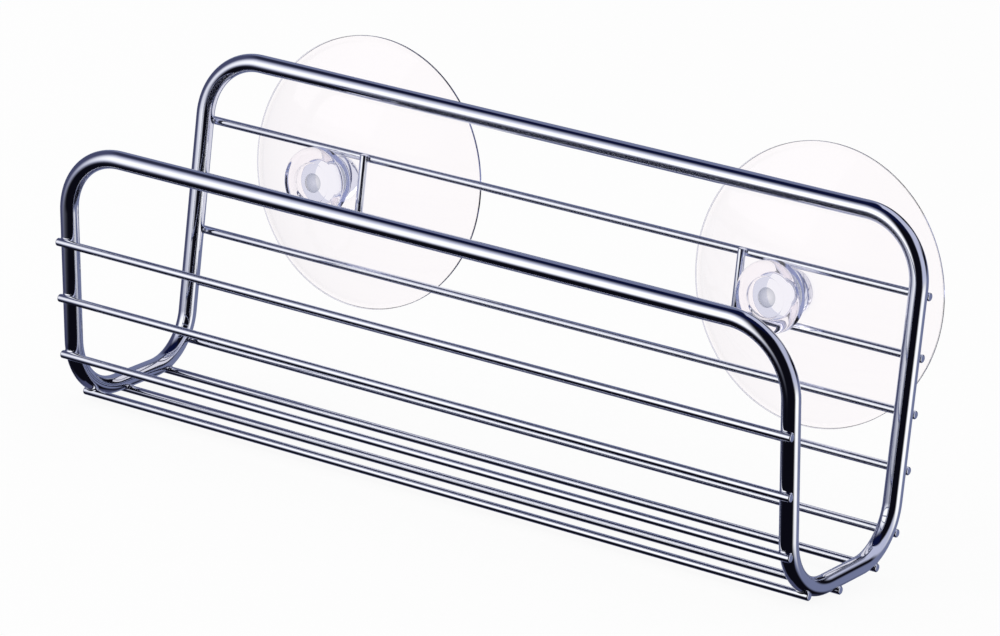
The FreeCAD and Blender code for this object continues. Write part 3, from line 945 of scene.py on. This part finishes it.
def light_tent(name, ground, panels, distance, level):
    """A round tent of soft panels that the metal and plastic reflect, and that shades nothing.

    Its points are distance x (cos e sin a, -cos e cos a, sin e) for turn a and rise e. Each panel is a shade
    with its turns, its rises and a fade, and it is blended over the panels before it.
    """
    all_turns = np.linspace(-180, 180, TENT_TURNS)
    all_rises = np.linspace(-TENT_TOP, TENT_TOP, TENT_RISES)
    a, e = np.meshgrid(all_turns, all_rises, indexing="ij")
    shade = np.ones(a.shape + (3,)) * ground
    for colour_of, turns, rises, fade in panels:
        middle = (turns[0] + turns[1]) / 2
        aside = (a - middle + 180) % 360 - 180
        over = soft_edge(aside, turns[0] - middle, turns[1] - middle, fade)
        over = over * soft_edge(e, *rises, fade)
        shade = shade + (np.array(colour_of) - shade) * over[..., None]
    a, e = np.radians(a), np.radians(e)
    points = distance * np.stack([np.cos(e) * np.sin(a), -np.cos(e) * np.cos(a), np.sin(e)], -1)
    tent = open_grid(name, points)
    layer = tent.data.attributes.new("shade", "FLOAT_COLOR", "POINT")
    rows = np.concatenate([shade, np.ones(a.shape + (1,))], -1)
    layer.data.foreach_set("color", rows.astype(np.float32).ravel())
    material, tree, output = new_material(f"{name}_panels")
    glow = tree.nodes.new("ShaderNodeEmission")
    glow.inputs["Strength"].default_value = level
    cloth = tree.nodes.new("ShaderNodeAttribute")
    cloth.attribute_name = "shade"
    tree.links.new(cloth.outputs["Color"], glow.inputs["Color"])
    tree.links.new(glow.outputs["Emission"], output.inputs["Surface"])
    tent.data.materials.append(material)
    tent.visible_camera = False
    tent.visible_diffuse = False
    tent.visible_transmission = False
    tent.visible_shadow = False
    tent.visible_volume_scatter = False


def set_camera(stage):
    """Stand the camera round and above its target, and tilt it on its own axis."""
    a, e, roll = stage.view_turn, stage.view_rise, stage.view_roll
    ahead = np.array([-math.sin(a) * math.cos(e), math.cos(a) * math.cos(e), -math.sin(e)])
    level = np.array([math.cos(a), math.sin(a), 0])
    upright = np.cross(level, ahead)
    right = math.cos(roll) * level + math.sin(roll) * upright
    up = math.cos(roll) * upright - math.sin(roll) * level
    spot = np.array(stage.view_target) - stage.view_distance * ahead
    data = bpy.data.cameras.new("studio_camera")
    data.lens = 200
    data.sensor_width = 36
    data.sensor_fit = "HORIZONTAL"
    data.clip_start = 0.01
    data.clip_end = 50
    camera = bpy.data.objects.new("studio_camera", data)
    rows = [(right[i], up[i], -ahead[i], spot[i]) for i in range(3)]
    camera.matrix_world = Matrix([*rows, (0, 0, 0, 1)])
    bpy.context.scene.collection.objects.link(camera)
    bpy.context.scene.camera = camera


def soft_lamp(name, turn_to, rise, distance, size, level):
    """A square soft lamp that faces the basket. Its power is level x pi x its area."""
    a, e = math.radians(turn_to), math.radians(rise)
    back = np.array([math.cos(e) * math.sin(a), -math.cos(e) * math.cos(a), math.sin(e)])
    data = bpy.data.lights.new(name, "AREA")
    data.shape = "SQUARE"
    data.size = size
    data.energy = level * math.pi * size * size
    lamp = bpy.data.objects.new(name, data)
    side = unit(np.cross(Z_AXIS, back))
    up = np.cross(back, side)
    rows = [(side[i], up[i], back[i], back[i] * distance) for i in range(3)]
    lamp.matrix_world = Matrix([*rows, (0, 0, 0, 1)])
    lamp.visible_glossy = False
    bpy.context.scene.collection.objects.link(lamp)


class SPONGEHOLDER_OT_stage(bpy.types.Operator):
    """Set the floor, the room, the lamp, the light tent and the camera"""

    bl_idname = "sponge_holder.stage"
    bl_label = "Stage"

    def execute(self, context):
        """Lay a square floor under the lowest wire, with the lamp, the light tent and the camera round it.

        Each panel of the tent has its shade, its turns to the right and its rises in degrees, and its fade.
        """
        stage = context.scene.sponge_holder_stage
        level = CAD_BOX[0].z
        lines = np.linspace(-FLOOR_REACH, FLOOR_REACH, FLOOR_LINES)
        x, y = np.meshgrid(lines, lines, indexing="ij")
        floor = open_grid("floor", np.stack([x, y, np.full_like(x, level)], -1))
        floor.data.materials.append(floor_material(stage))
        floor.visible_glossy = False
        floor.visible_transmission = False
        set_world(stage)
        soft_lamp("front_softbox", turn_to=-50, rise=26, distance=1.5, size=1.3, level=1.25)
        panels = (
            (stage.slate, (90, 200), (-38, 4), 12),
            (stage.dim, (-110, -50), (-28, 45), 24),
            (stage.dim, (-200, -80), (-200, -50), 24),
            (stage.navy, (-400, 400), (50, 200), 16),
            (stage.slate, (195, 250), (-50, 66), 18),
            (stage.lavender, (80, 155), (26, 100), 16),
            (stage.lavender, (74, 118), (-3, 40), 14),
            (stage.lavender, (145, 200), (46, 100), 14),
            (stage.lavender, (-58, 0), (-18, 46), 27),
            (stage.white, (-52, -8), (-8, 26), 26),
            (stage.white, (-30, 0), (-11, 30), 22),
            (stage.white, (80, 114), (-26, -3), 18),
        )
        light_tent("light_tent", stage.black, panels, stage.tent_radius, stage.tent_level)
        set_camera(stage)
        context.scene.view_settings.view_transform = "Standard"
        return {"FINISHED"}


class SPONGEHOLDER_PT_panel(bpy.types.Panel):
    """Sizes, finishes and the operators that build the holder"""

    bl_label = "Sponge holder"
    bl_idname = "SPONGEHOLDER_PT_panel"
    bl_space_type = "VIEW_3D"
    bl_region_type = "UI"
    bl_category = "Sponge holder"

    def draw(self, context):
        """List the operators, and then each group's values in a box of its own."""
        layout = self.layout
        for operator in OPERATORS:
            layout.operator(operator.bl_idname)
        for group_name in GROUPS:
            group = getattr(context.scene, group_name)
            box = layout.box()
            for value_name in group.__annotations__:
                box.prop(group, value_name)


GROUPS = {
    "sponge_holder_wire": SpongeHolderWire,
    "sponge_holder_cup": SpongeHolderCup,
    "sponge_holder_stage": SpongeHolderStage,
}
OPERATORS = (
    SPONGEHOLDER_OT_frame,
    SPONGEHOLDER_OT_rails,
    SPONGEHOLDER_OT_stops,
    SPONGEHOLDER_OT_cups,
    SPONGEHOLDER_OT_stage,
)


def register():
    """Make the groups, the operators and the panel known to Blender."""
    for name, group in GROUPS.items():
        bpy.utils.register_class(group)
        setattr(bpy.types.Scene, name, PointerProperty(type=group))
    for operator in OPERATORS:
        bpy.utils.register_class(operator)
    bpy.utils.register_class(SPONGEHOLDER_PT_panel)


def unregister():
    """Take back what register did, in the opposite order."""
    bpy.utils.unregister_class(SPONGEHOLDER_PT_panel)
    for operator in reversed(OPERATORS):
        bpy.utils.unregister_class(operator)
    for name, group in reversed(GROUPS.items()):
        delattr(bpy.types.Scene, name)
        bpy.utils.unregister_class(group)


def main():
    register()
    build = bpy.ops.sponge_holder
    build.frame()
    build.rails()
    build.stops()
    build.cups()
    build.stage()


if __name__ == "__main__":
    main()
